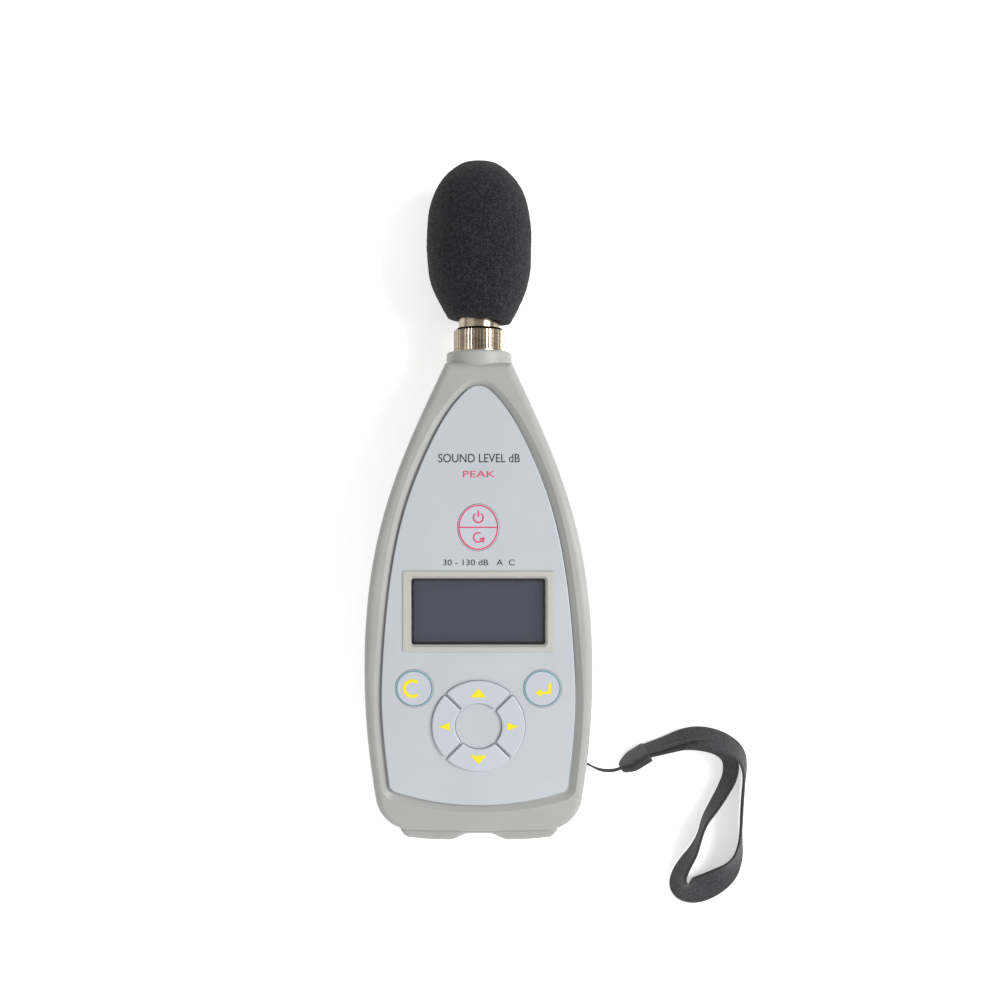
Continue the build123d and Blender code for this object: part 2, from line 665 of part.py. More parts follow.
def batteries():
    return [cell(x, turn) for x, turn in cell_places()]


def contact_plate(x_from, x_to, end):
    """A flat contact strip on one end wall of the bay; end is 1 towards the microphone, or -1."""
    wall = BAY_TOP_Y if end > 0 else BAY_END_Y
    return block(x_from, x_to, min(wall, wall - end * CONTACT_T), max(wall, wall - end * CONTACT_T), 5.2, 16.0)


def contact_button(x, end):
    """The pressed boss that meets a cell's positive nub."""
    wall = BAY_TOP_Y if end > 0 else BAY_END_Y
    return Pos(x, wall - end * 1.5 * CONTACT_T, CELL_Z) * Rot(90, 0, 0) * Cylinder(2.2, CONTACT_T)


def battery_contacts():
    """Strips that join the four cells in series, with two end terminals."""
    pairs = [(1, [0]), (1, [1, 2]), (1, [3]), (-1, [0, 1]), (-1, [2, 3])]
    places = cell_places()
    strips = []
    for end, cells in pairs:
        x_from = places[cells[0]][0] - 4.5
        x_to = places[cells[-1]][0] + 4.5
        strip = contact_plate(x_from, x_to, end)
        for index in cells:
            x, turn = places[index]
            strip += contact_button(x, end) if turn == end else leaf_spring(x, end)
        if end > 0 and len(cells) == 1:
            side = 1 if x > 0 else -1
            tag = side * 1.5 * CELL_PITCH
            strip += block(tag - 1.4, tag + 1.4, BAY_TOP_Y - 0.2, BAY_TOP_Y + BAY_WALL + 1.0, 14.6, 15.4)
        strips.append(strip)
    return strips


def leaf_spring(x, end):
    """A bowed strip from the contact plate to the negative end of a cell."""
    wall = BAY_TOP_Y if end > 0 else BAY_END_Y
    gap = (BAY_TOP_Y - BAY_END_Y) - 2 * CONTACT_T - CELL_NUB_L - CELL_BODY_L
    foot = wall - end * CONTACT_T
    tip = wall - end * (gap - 0.02)
    arc = ThreePointArc((foot, 14.4), (tip, CELL_Z), (foot, 4.6))
    back = ThreePointArc((foot, 13.9), (tip + end * CONTACT_T, CELL_Z), (foot, 5.1))
    bow = make_face(Wire([arc, Line(arc @ 1, back @ 1), back, Line(back @ 0, arc @ 0)]))
    return Pos(x - 2.5, 0, 0) * extrude(Plane.YZ * bow, 5.0)


def battery_leads():
    """Two wires from the end terminals up to the main board."""
    wires = []
    for side in (1, -1):
        x = side * 1.5 * CELL_PITCH
        start = BAY_TOP_Y + BAY_WALL + 1.0
        path = FilletPolyline((x, start, 15.0), (x, start + 3.5, 15.0), (x, start + 3.5, BOARD_Z), radius=1.6)
        section = Plane(origin=path @ 0, z_dir=path % 0) * Circle(0.55)
        wires.append(sweep(section, path))
    return wires


# Microphone end

def neck_bushing():
    """The fixed threaded sleeve in the collar, with a bright flange under the nut."""
    sleeve = tube_y(BUSHING_BACK_Y, BUSHING_TOP_Y, BUSHING_R, BUSHING_BORE_R)
    return sleeve + tube_y(COLLAR_TOP_Y, FLANGE_TOP_Y, NUT_R + 0.15, BUSHING_BORE_R)


def neck_lock_nut():
    """The slotted ring nut that clamps the sleeve inside the casing."""
    back = SHOULDER_Y - WALL - LOCK_NUT_T
    nut = tube_y(back, SHOULDER_Y - WALL, LOCK_NUT_R, BUSHING_R)
    for turn in (0, 90):
        nut -= Pos(0, back, MIC_Z) * Rot(0, turn, 0) * Box(2, 2, 4 * LOCK_NUT_R)
    return nut


def neck_socket():
    """The insulator in the sleeve with four contact holes."""
    socket = along_y(BUSHING_BACK_Y + 0.5, 39.0, BUSHING_BORE_R)
    for x, z in pin_places():
        socket -= Pos(x, 38, MIC_Z + z) * Rot(90, 0, 0) * Cylinder(0.55, 5)
    return socket


def pin_places():
    return [(2.8 * cos(radians(45 + 90 * k)), 2.8 * sin(radians(45 + 90 * k))) for k in range(4)]


def mic_lead():
    """The screened lead from the neck socket to the board, along its real route."""
    path = FilletPolyline((0, BUSHING_BACK_Y + 0.5, MIC_Z), (0, 28.0, MIC_Z), (0, 20.5, BOARD_Z - 1.6),
                          (0, 14.0, BOARD_Z - 1.6), radius=8.0)
    section = Plane(origin=path @ 0, z_dir=path % 0) * Circle(1.1)
    return sweep(section, path)


def preamp_barrel():
    """The bare metal tube of the preamplifier, with the flange the nut pulls on."""
    barrel = tube_y(BUSHING_TOP_Y + 0.05, BARREL_TOP_Y, MIC_R, MIC_R - 0.9)
    barrel += tube_y(BUSHING_TOP_Y + 0.05, BUSHING_TOP_Y + 0.85, BUSHING_R - 0.2, MIC_R - 1)
    return barrel + tube_y(40.0, BUSHING_TOP_Y + 1, BUSHING_BORE_R - RUN_FIT, BUSHING_BORE_R - 1.0)


def preamp_plug():
    """The insulator and four pins at the preamplifier's foot."""
    plug = along_y(40.0, 44.0, BUSHING_BORE_R - 1.0)
    for x, z in pin_places():
        plug += Pos(x, 38.6, MIC_Z + z) * Rot(90, 0, 0) * Cylinder(0.45, 3.4)
    return plug


def preamp_board():
    """The narrow circuit board inside the tube."""
    return block(-4.0, 4.0, 44.0, 68.0, MIC_Z - 0.5, MIC_Z + 0.5)


def preamp_contact():
    """The sprung pin in its insulator that meets the capsule."""
    insulator = along_y(68.0, BARREL_TOP_Y, MIC_R - 0.9)
    return insulator + along_y(BARREL_TOP_Y, BARREL_TOP_Y + 2.0, 0.8)


def mic_capsule():
    """The half-inch capsule's housing, screwed on the tube."""
    wall = tube_y(BARREL_TOP_Y, CAPSULE_TOP_Y, MIC_R, MIC_R - 0.6)
    ring = tube_y(BARREL_TOP_Y, BARREL_TOP_Y + 1.5, MIC_R - 0.3, 2.4)
    groove = tube_y(BARREL_TOP_Y, BARREL_TOP_Y + 0.3, MIC_R + 1, MIC_R - 0.25)
    return wall + ring - groove


def mic_backplate():
    """The charged plate on its insulator, a hair below the diaphragm."""
    plate = along_y(CAPSULE_TOP_Y - 2.4, CAPSULE_TOP_Y - 0.6, 4.4)
    return plate + along_y(BARREL_TOP_Y + 2.0, CAPSULE_TOP_Y - 2.4, 1.2)


def mic_insulator():
    """The ring that holds the back plate in the housing."""
    return tube_y(CAPSULE_TOP_Y - 4.6, CAPSULE_TOP_Y - 2.4, MIC_R - 0.6, 1.2)


def mic_diaphragm():
    """The stretched foil across the capsule."""
    return along_y(CAPSULE_TOP_Y - 0.15, CAPSULE_TOP_Y, MIC_R - 0.6)


def mic_grid():
    """The slotted protection grid over the diaphragm."""
    grid = along_y(CAPSULE_TOP_Y, GRID_TOP_Y, MIC_R)
    grid = fillet(grid.edges().sort_by(Axis.Y)[-1], 0.8)
    grid -= along_y(CAPSULE_TOP_Y - 1, GRID_TOP_Y - 0.7, MIC_R - 0.7)
    for row in range(-3, 4):
        half = 4.6 - 0.45 * abs(row)
        grid -= block(-half, half, GRID_TOP_Y - 2, GRID_TOP_Y + 1, MIC_Z + 1.3 * row - 0.32, MIC_Z + 1.3 * row + 0.32)
    return grid


def knurled_nut():
    """The coupling nut: smooth bore on the tube, threaded skirt over the sleeve."""
    nut = along_y(FLANGE_TOP_Y + 0.1, NUT_TOP_Y, NUT_R)
    nut = chamfer(nut.edges().sort_by(Axis.Y)[-1], 0.9)
    nut -= along_y(FLANGE_TOP_Y - 1, BUSHING_TOP_Y + 0.9, BUSHING_R + RUN_FIT)
    nut -= along_y(FLANGE_TOP_Y, NUT_TOP_Y + 1, MIC_R + RUN_FIT)
    cut = Pos(0, (FLANGE_TOP_Y + NUT_TOP_Y) / 2, MIC_Z)
    for index in range(KNURLS):
        groove = Pos(NUT_R + 0.1, 0, 0) * Rot(0, 45, 0) * Box(0.5, 10, 0.5)
        nut -= cut * Rot(0, 360 * index / KNURLS, 0) * groove
    return nut


def windscreen():
    """The foam cover, a rounded plug with a bore for the microphone."""
    side = Spline((0, WINDSCREEN_TOP_Y), (9.6, 102.9), (14.2, 95.2), (16.5, 82.0), (16.1, 71.5),
                  (13.0, 61.0), (9.7, SCREEN_BASE_Y), tangents=((1, 0), (-0.5, -1)))
    section = make_face(Wire([side, Line((9.7, SCREEN_BASE_Y), (0, SCREEN_BASE_Y)),
                              Line((0, SCREEN_BASE_Y), (0, WINDSCREEN_TOP_Y))]))
    foam = Pos(0, 0, MIC_Z) * revolve(section, Axis.Y)
    return foam - along_y(SCREEN_BASE_Y - 1, GRID_TOP_Y + 0.3, MIC_R + RUN_FIT)


# Wrist strap

def route_radii(points, share=0.45):
    """The largest tangent arc that each corner's two runs allow."""
    vectors = [Vector(*point) for point in points]
    radii = []
    for before, corner, after in zip(vectors, vectors[1:], vectors[2:]):
        turn = (corner - before).get_angle(after - corner)
        run = min((corner - before).length, (after - corner).length)
        radii.append(share * run / tan(radians(turn / 2)))
    return radii


def thread_path():
    return FilletPolyline(*THREAD_ROUTE, radius=route_radii(THREAD_ROUTE))


def strap_thread():
    """The thin cord loop that ties the strap to the casing."""
    path = thread_path()
    section = Plane(origin=path @ 0, z_dir=path % 0) * Circle(THREAD_D / 2)
    return sweep(section, path)


def clasp_axes():
    """Directions at the clasp: along the strap, outwards from the loop, and both unit vectors."""
    along = (Vector(*CLASP_BACK) - Vector(*CLASP_NOSE)).normalized()
    return along, Vector(-along.Y, along.X, 0)


def leaning(outward, lean):
    """Directions across the webbing's width and out of its upper face, at a lean in degrees."""
    angle = radians(lean)
    up = Vector(0, 0, 1)
    return up * sin(angle) - outward * cos(angle), outward * sin(angle) + up * cos(angle)


def strap_clasp():
    """The moulded clasp that grips the thread and both ends of the webbing."""
    along, outward = clasp_axes()
    across, _ = leaning(outward, CLASP_LEAN)
    length = (Vector(*CLASP_BACK) - Vector(*CLASP_NOSE)).length
    nose = Rectangle(CLASP_NOSE_W, CLASP_T * 0.6)
    back = Rectangle(WEB_W + 1.0, CLASP_T)
    body = loft([nose, Pos(0, 0, length * CLASP_TAPER) * back], ruled=True)
    body += extrude(Pos(0, 0, length * CLASP_TAPER) * back, length * (1 - CLASP_TAPER))
    body = fillet(body.edges().filter_by(lambda edge: abs((edge % 0.5).Z) > 0.5), CLASP_ROUNDING)
    frame = Plane(origin=(*CLASP_NOSE, CLASP_Z), x_dir=across, z_dir=along)
    return frame * body - strap_thread()


def web_points():
    """The webbing's centre line and lean, from the clasp round the loop and back."""
    _, outward = clasp_axes()
    _, face = leaning(outward, CLASP_LEAN)
    back = Vector(*CLASP_BACK, CLASP_Z)
    points = [(back + face * (WEB_SPACING / 2), CLASP_LEAN)]
    for x, y, lean, lift in WEB_ROUTE:
        height = WEB_W / 2 * sin(radians(lean)) + WEB_T / 2 * abs(cos(radians(lean))) + lift
        points.append((Vector(x, y, height), lean))
    points.append((back - face * (WEB_SPACING / 2), CLASP_LEAN))
    return points


def strap_webbing():
    """The flat woven loop, as straight-sided spans between leaning sections."""
    along, _ = clasp_axes()
    points = web_points()
    line = Spline(*[place for place, _ in points], tangents=(along, -along))
    shares = [line.param_at_point(place) for place, _ in points]
    sections = []
    for index in range(WEB_SECTIONS + 1):
        share = index / WEB_SECTIONS
        span = min(sum(share > mark for mark in shares[1:]), len(points) - 2)
        part = (share - shares[span]) / (shares[span + 1] - shares[span])
        lean = points[span][1] + part * (points[span + 1][1] - points[span][1])
        going = line % share
        outward = Vector(-going.Y, going.X, 0).normalized()
        across, _ = leaning(outward, lean)
        plane = Plane(origin=line @ share, x_dir=across, z_dir=going)
        sections.append(plane * Rectangle(WEB_W, WEB_T))
    return loft(sections, ruled=True)


NODES = [
    front_shell, rear_shell, battery_cover, case_screws, tripod_insert,
    front_panel, lcd_bezel, lcd_window, lcd_mask, lcd_glass, lcd_holder,
    main_board, board_screws, dome_switches, board_chips, analog_shield, clock_cell, mic_connector,
    overload_led, overload_light_pipe, port_board, usb_socket, port_lead,
    batteries, battery_contacts, battery_leads,
    neck_bushing, neck_lock_nut, neck_socket, mic_lead,
    preamp_barrel, preamp_plug, preamp_board, preamp_contact,
    mic_capsule, mic_backplate, mic_insulator, mic_diaphragm, mic_grid,
    knurled_nut, windscreen, strap_thread, strap_clasp, strap_webbing,
]


def write(name, shape):
    """One STEP file for one node; a list is a group of separate solids."""
    if isinstance(shape, list):
        shape = Compound(children=[solid for piece in shape for solid in piece.solids()])
    export_step(shape, f"parts/{name}.step")


os.makedirs("parts", exist_ok=True)
for make in NODES:
    write(make.__name__, make())
for name in key_faces():
    write(name, key(name))
print("thread arcs, mm:", [round(radius, 2) for radius in route_radii(THREAD_ROUTE)])
print("thread length, mm:", round(thread_path().length, 1))
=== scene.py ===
import json
from math import cos, hypot, pi, radians, sin

import bmesh
import bpy
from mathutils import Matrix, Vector, noise


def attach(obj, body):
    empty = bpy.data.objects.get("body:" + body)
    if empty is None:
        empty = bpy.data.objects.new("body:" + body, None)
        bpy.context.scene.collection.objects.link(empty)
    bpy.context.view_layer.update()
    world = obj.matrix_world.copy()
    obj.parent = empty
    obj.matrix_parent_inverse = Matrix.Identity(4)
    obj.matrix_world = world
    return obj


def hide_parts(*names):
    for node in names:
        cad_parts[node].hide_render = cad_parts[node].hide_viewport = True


MM = 0.001

# Camera: straight above the face, millimetres
CAMERA_X, CAMERA_Y, CAMERA_Z = 6.5, -0.4, 390.0
LENS = 42.9

# Neck and windscreen
MIC_Z = 17.2
FOAM_BASE_Y = 55.0
FOAM_TOP_Y = 104.9
FOAM_BORE_R = 6.45
FOAM_BORE_Y = 66.0
FOAM_CROWN_R = 5.0
FOAM_RINGS = 130
FOAM_SEGMENTS = 180
FOAM_TILT = 0.09
FOAM_TILT_RISE = 0.75
FOAM_TILT_REACH = 14.0
FOAM_GRAIN = 0.16
FOAM_BORE_STEPS = 7
FOAM_BASE_STEPS = 5

# Places along the microphone's axis, and the foam's radius there
FOAM_MARKS = [
    (55.0, 9.9), (57.1, 11.2), (58.9, 12.1), (62.7, 13.8), (66.4, 15.1), (70.2, 15.9), (73.9, 16.3),
    (82.4, 16.55), (88.9, 15.9), (92.7, 15.1), (96.4, 13.7), (99.9, 11.4), (102.7, 8.5),
]

# Strap
THREAD_D = 0.6
CLASP_NOSE = (45.4, -87.0)
CLASP_BACK = (54.1, -81.6)
CLASP_Z = 5.4
CLASP_LEAN = 75.0
CLASP_STEPS = 40
CLASP_SQUARENESS = 0.5

# Sections of the clasp from nose to mouth: share of its length, width and thickness
CLASP_SECTIONS = [
    (0.0, 2.6, 1.2), (0.02, 4.0, 1.9), (0.07, 5.2, 2.5), (0.15, 6.6, 2.9), (0.25, 8.2, 3.1), (0.35, 9.6, 3.3),
    (0.45, 10.2, 3.35), (0.6, 10.3, 3.35), (0.8, 10.3, 3.35), (0.94, 10.3, 3.35), (0.985, 10.1, 3.2),
    (1.0, 9.7, 2.9),
]

# Webbing
WEB_W = 9.5
WEB_T = 1.0
WEB_SPACING = 1.5
RIB_PITCH = 0.7
RIB_DEPTH = 0.14
RIB_ROWS = 4
WEB_IN_CLASP = 1.2
WEB_SECTION_STEPS = 16
SELVEDGE_FROM = 0.93
SELVEDGE_THICKNESS = 0.2
RIB_FADE = 8

# Legends: ink, and the middles of the keys
INK_T = 0.03
INK_LIFT = 0.05
POWER_KEY = (0.0, -8.6)
SIDE_KEY_X, SIDE_KEY_Y = 19.3, -57.2
CANCEL_MARK_X = -19.9
ARROW_PAD = (0.0, -68.8)
ARROW_REACH = 10.4
UPRIGHT_ARROW = (4.9, 2.8)
SIDEWAYS_ARROW = (3.4, 2.5)

# Floor, metres
FLOOR_HALF = 3.0
FLOOR_DROP = 0.0003

# The thread from inside the clasp, through the casing's side and round inside it, and back
THREAD_ROUTE = [
    (48.2, -85.9, 4.9), (45.2, -87.6, 4.9), (41.8, -88.2, 5.2), (38.2, -87.4, 6.1), (35.0, -85.3, 6.9),
    (32.6, -84.2, 7.0), (30.9, -84.2, 7.0), (30.9, -84.2, 10.0), (32.6, -84.2, 10.0), (35.0, -84.9, 9.9),
    (38.2, -86.5, 8.8), (41.8, -87.2, 7.1), (45.2, -86.8, 6.0), (48.2, -85.1, 5.8),
]

# The webbing from the clasp round the loop: x, y, lean of its width from flat, and height of its
# lower edge above the floor
WEB_ROUTE = [
    (60.2, -79.5, 68, 0.6), (65.4, -77.5, 58, 1.5), (70.4, -76.6, 52, 2.8), (75.2, -77.2, 52, 3.4),
    (80.0, -79.0, 56, 3.2), (84.0, -82.0, 64, 2.2), (85.6, -87.0, 74, 0.8), (85.2, -92.6, 78, 0.3),
    (84.7, -98.8, 79, 0.3), (84.4, -105.3, 79, 0.3), (84.1, -111.4, 74, 0.3), (83.2, -116.8, 56, 0.3),
    (80.4, -121.8, 28, 0.3), (75.4, -125.6, 13, 0.3), (70.0, -127.7, 11, 0.3), (65.4, -126.9, 34, 0.3),
    (63.9, -122.7, 70, 0.3), (66.0, -118.2, 78, 0.3), (69.0, -114.0, 86, 0.3), (71.0, -109.2, 96, 0.3),
    (72.4, -104.2, 92, 0.3), (75.4, -99.6, 84, 0.3), (78.4, -94.6, 80, 0.3), (80.9, -89.6, 74, 0.3),
    (81.2, -84.6, 66, 0.3), (78.0, -81.2, 60, 0.3), (73.0, -79.6, 56, 0.3), (67.4, -79.4, 60, 0.3),
    (61.2, -80.6, 68, 0.3),
]

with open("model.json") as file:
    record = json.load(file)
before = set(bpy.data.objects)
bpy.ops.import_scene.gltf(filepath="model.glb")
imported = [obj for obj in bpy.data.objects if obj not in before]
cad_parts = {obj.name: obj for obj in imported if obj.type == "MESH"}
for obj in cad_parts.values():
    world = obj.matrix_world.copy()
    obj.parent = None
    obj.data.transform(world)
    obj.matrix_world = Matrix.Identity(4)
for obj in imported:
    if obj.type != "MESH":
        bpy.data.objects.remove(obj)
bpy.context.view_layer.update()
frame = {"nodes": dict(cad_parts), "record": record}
nodes = frame["nodes"]


# Materials

def srgb(red, green, blue):
    """Linear colour from 0 to 255 display values."""
    def linear(value):
        value /= 255
        return value / 12.92 if value <= 0.04045 else ((value + 0.055) / 1.055) ** 2.4
    return (linear(red), linear(green), linear(blue), 1.0)


def new_material(name, colour, roughness, metallic=0.0):
    """A material with one Principled shader, and that shader."""
    material = bpy.data.materials.new(name)
    material.use_nodes = True
    shader = material.node_tree.nodes["Principled BSDF"]
    shader.inputs["Base Color"].default_value = colour
    shader.inputs["Roughness"].default_value = roughness
    shader.inputs["Metallic"].default_value = metallic
    material.diffuse_color = colour
    return material, shader


def add(material, kind, **inputs):
    """One more shader node; inputs are set by name."""
    node = material.node_tree.nodes.new(kind)
    for key, value in inputs.items():
        node.inputs[key.replace("_", " ")].default_value = value
    return node


def link(material, source, target):
    material.node_tree.links.new(source, target)


def grain(material, shader, scale, strength, distance, detail=4.0, stretch=None):
    """Fine bump from noise, with its depth in millimetres; returns the object-space place it reads."""
    place = add(material, "ShaderNodeTexCoord")
    texture = add(material, "ShaderNodeTexNoise", Scale=scale, Detail=detail)
    source = place.outputs["Object"]
    if stretch:
        mapping = add(material, "ShaderNodeMapping")
        mapping.inputs["Scale"].default_value = stretch
        link(material, source, mapping.inputs["Vector"])
        source = mapping.outputs["Vector"]
    link(material, source, texture.inputs["Vector"])
    bump = add(material, "ShaderNodeBump", Strength=strength, Distance=distance * MM)
    link(material, texture.outputs["Fac"], bump.inputs["Height"])
    link(material, bump.outputs["Normal"], shader.inputs["Normal"])
    return source


def mottled(material, shader, source, scale, low, high):
    """Colour that wanders a little between two close values."""
    texture = add(material, "ShaderNodeTexNoise", Scale=scale, Detail=6.0)
    link(material, source, texture.inputs["Vector"])
    ramp = add(material, "ShaderNodeValToRGB")
    ramp.color_ramp.elements[0].position = 0.3
    ramp.color_ramp.elements[1].position = 0.7
    ramp.color_ramp.elements[0].color = low
    ramp.color_ramp.elements[1].color = high
    link(material, texture.outputs["Fac"], ramp.inputs["Fac"])
    link(material, ramp.outputs["Color"], shader.inputs["Base Color"])


def rough_spots(material, shader, source, scale, low, high):
    """Roughness that wanders, as on handled or printed surfaces."""
    texture = add(material, "ShaderNodeTexNoise", Scale=scale, Detail=5.0)
    link(material, source, texture.inputs["Vector"])
    spread = add(material, "ShaderNodeMapRange")
    spread.inputs["To Min"].default_value = low
    spread.inputs["To Max"].default_value = high
    link(material, texture.outputs["Fac"], spread.inputs["Value"])
    link(material, spread.outputs["Result"], shader.inputs["Roughness"])


def plastic(name, low, high, roughness, texture_scale=2600, depth=0.03, strength=0.25):
    """Moulded plastic with a spark-eroded texture and slight colour drift."""
    material, shader = new_material(name, low, roughness)
    source = grain(material, shader, texture_scale, strength, depth)
    mottled(material, shader, source, 60, low, high)
    rough_spots(material, shader, source, 220, roughness - 0.06, roughness + 0.06)
    return material


def metal(name, low, high, roughness, stretch=None, scale=900, metallic=1.0):
    """Turned, plated or brushed metal."""
    material, shader = new_material(name, low, roughness, metallic)
    source = grain(material, shader, scale, 0.15, 0.02, stretch=stretch)
    mottled(material, shader, source, 180, low, high)
    rough_spots(material, shader, source, 400, roughness * 0.75, roughness * 1.3)
    return material


def clear(name, tint, roughness, weight):
    """Clear plastic or glass."""
    material, shader = new_material(name, tint, roughness)
    shader.inputs["Transmission Weight"].default_value = weight
    shader.inputs["IOR"].default_value = 1.49
    grain(material, shader, 300, 0.02, 0.01)
    return material


def ink(name, colour):
    """Screen-printed ink, slightly uneven."""
    material, shader = new_material(name, colour, 0.45)
    grain(material, shader, 5000, 0.15, 0.01)
    return material


def foam_material():
    """Open-cell foam: the pits are painted darker as shade, between lighter cell walls."""
    material, shader = new_material("foam", srgb(48, 49, 52), 0.95)
    shader.inputs["Specular IOR Level"].default_value = 0.15
    shader.inputs["Sheen Weight"].default_value = 0.06
    shader.inputs["Sheen Roughness"].default_value = 0.6
    place = add(material, "ShaderNodeTexCoord")
    cells = add(material, "ShaderNodeTexVoronoi", Scale=1500.0)
    cells.feature = "DISTANCE_TO_EDGE"
    link(material, place.outputs["Object"], cells.inputs["Vector"])
    clouds = add(material, "ShaderNodeTexNoise", Scale=900.0, Detail=6.0)
    link(material, place.outputs["Object"], clouds.inputs["Vector"])
    mix = add(material, "ShaderNodeMath")
    mix.operation = "MULTIPLY_ADD"
    link(material, cells.outputs["Distance"], mix.inputs[0])
    mix.inputs[1].default_value = -1.6
    link(material, clouds.outputs["Fac"], mix.inputs[2])
    # Painted shade: the colour follows the bump's height, so the pits are painted near black and the cell
    # walls lighter
    ramp = add(material, "ShaderNodeValToRGB")
    ramp.color_ramp.elements[0].position = 0.1
    ramp.color_ramp.elements[0].color = srgb(13, 13, 15)
    ramp.color_ramp.elements[1].position = 0.62
    ramp.color_ramp.elements[1].color = srgb(52, 52, 56)
    link(material, mix.outputs[0], ramp.inputs["Fac"])
    link(material, ramp.outputs["Color"], shader.inputs["Base Color"])
    bump = add(material, "ShaderNodeBump", Strength=0.9, Distance=0.25 * MM)
    link(material, mix.outputs[0], bump.inputs["Height"])
    link(material, bump.outputs["Normal"], shader.inputs["Normal"])
    return material


def fabric(name, low, high, scale):
    """Woven or braided yarn."""
    material, shader = new_material(name, low, 0.8)
    shader.inputs["Sheen Weight"].default_value = 0.15
    shader.inputs["Sheen Roughness"].default_value = 0.45
    source = grain(material, shader, scale, 0.7, 0.12)
    mottled(material, shader, source, scale * 0.6, low, high)
    return material


def display_material():
    """A switched-off liquid crystal display: slate blue, with its pixel grid just visible."""
    material, shader = new_material("display", srgb(82, 84, 102), 0.28)
    place = add(material, "ShaderNodeTexCoord")
    bricks = add(material, "ShaderNodeTexBrick", Scale=1.0)
    bricks.offset = 0.0
    for key, value in {"Color1": srgb(76, 81, 106), "Color2": srgb(72, 77, 102),
                       "Mortar": srgb(68, 70, 88)}.items():
        bricks.inputs[key].default_value = value
    bricks.inputs["Mortar Size"].default_value = 0.00003
    bricks.inputs["Brick Width"].default_value = 0.0003
    bricks.inputs["Row Height"].default_value = 0.0003
    link(material, place.outputs["Object"], bricks.inputs["Vector"])
    link(material, bricks.outputs["Color"], shader.inputs["Base Color"])
    return material


def make_materials():
    """One material for each slot of the record, and the inks and floor."""
    return {
        "casing": plastic("casing", srgb(158, 159, 156), srgb(165, 166, 163), 0.48),
        "panel": plastic("panel", srgb(180, 185, 190), srgb(185, 190, 195), 0.4, depth=0.012),
        "keys": plastic("keys", srgb(184, 189, 197), srgb(189, 193, 201), 0.36, depth=0.012),
        "bezel": metal("bezel", srgb(206, 206, 198), srgb(222, 222, 214), 0.3, (1, 30, 1), metallic=0.55),
        "pane": clear("pane", (1, 1, 1, 1), 0.03, 1.0),
        # Painted shade: the near-black mask round the display stands in for the shadow inside the recessed
        # window
        "mask": plastic("mask", srgb(22, 22, 24), srgb(27, 27, 29), 0.3, 900, 0.01),
        "display": display_material(),
        "holder": plastic("holder", srgb(226, 226, 220), srgb(232, 232, 228), 0.5),
        "board": plastic("board", srgb(22, 84, 52), srgb(28, 98, 60), 0.35, 900),
        "chips": plastic("chips", srgb(34, 34, 36), srgb(42, 42, 44), 0.55),
        "steel": metal("steel", srgb(196, 196, 198), srgb(210, 210, 212), 0.3),
        "nickel": metal("nickel", srgb(150, 136, 118), srgb(186, 172, 154), 0.2, (1, 8, 1)),
        "brass": metal("brass", srgb(196, 160, 92), srgb(212, 178, 108), 0.3),
        "insulator": plastic("insulator", srgb(222, 216, 200), srgb(230, 226, 212), 0.45),
        "lamp": clear("lamp", srgb(190, 40, 36), 0.2, 0.5),
        "light_pipe": clear("light_pipe", (0.95, 0.95, 0.95, 1), 0.1, 1.0),
        "cells": plastic("cells", srgb(70, 74, 82), srgb(80, 84, 92), 0.3, 500, 0.01),
        "wires": fabric("wires", srgb(40, 40, 42), srgb(60, 60, 62), 1500),
        "flat_cable": plastic("flat_cable", srgb(206, 198, 172), srgb(214, 208, 186), 0.5),
        "foam": foam_material(),
        "cord": fabric("cord", srgb(34, 34, 36), srgb(58, 58, 62), 3500),
        "clasp": plastic("clasp", srgb(38, 38, 38), srgb(45, 45, 45), 0.55, 1800, 0.04),
        "webbing": fabric("webbing", srgb(32, 32, 34), srgb(62, 62, 65), 2200),
        "ink_black": ink("ink_black", srgb(38, 40, 44)),
        "ink_red": ink("ink_red", srgb(214, 52, 98)),
        "ink_teal": ink("ink_teal", srgb(86, 138, 150)),
        "ink_yellow": ink("ink_yellow", srgb(236, 218, 20)),
    }


def paint(obj, material):
    obj.data.materials.clear()
    obj.data.materials.append(material)


def dress_nodes():
    """Each CAD node gets the material of its slot."""
    for part in frame["record"]["subparts"]:
        paint(nodes[part["node"]], materials[part["material_slot"]])


# Stage

def area_light(name, place, target, size, watts, colour=(1, 1, 1)):
    data = bpy.data.lights.new(name, "AREA")
    data.shape = "RECTANGLE"
    data.size, data.size_y = size
    data.energy = watts
    data.color = colour
    lamp = bpy.data.objects.new(name, data)
    bpy.context.scene.collection.objects.link(lamp)
    lamp.location = place
    lamp.rotation_euler = (Vector(target) - Vector(place)).to_track_quat("-Z", "Y").to_euler()


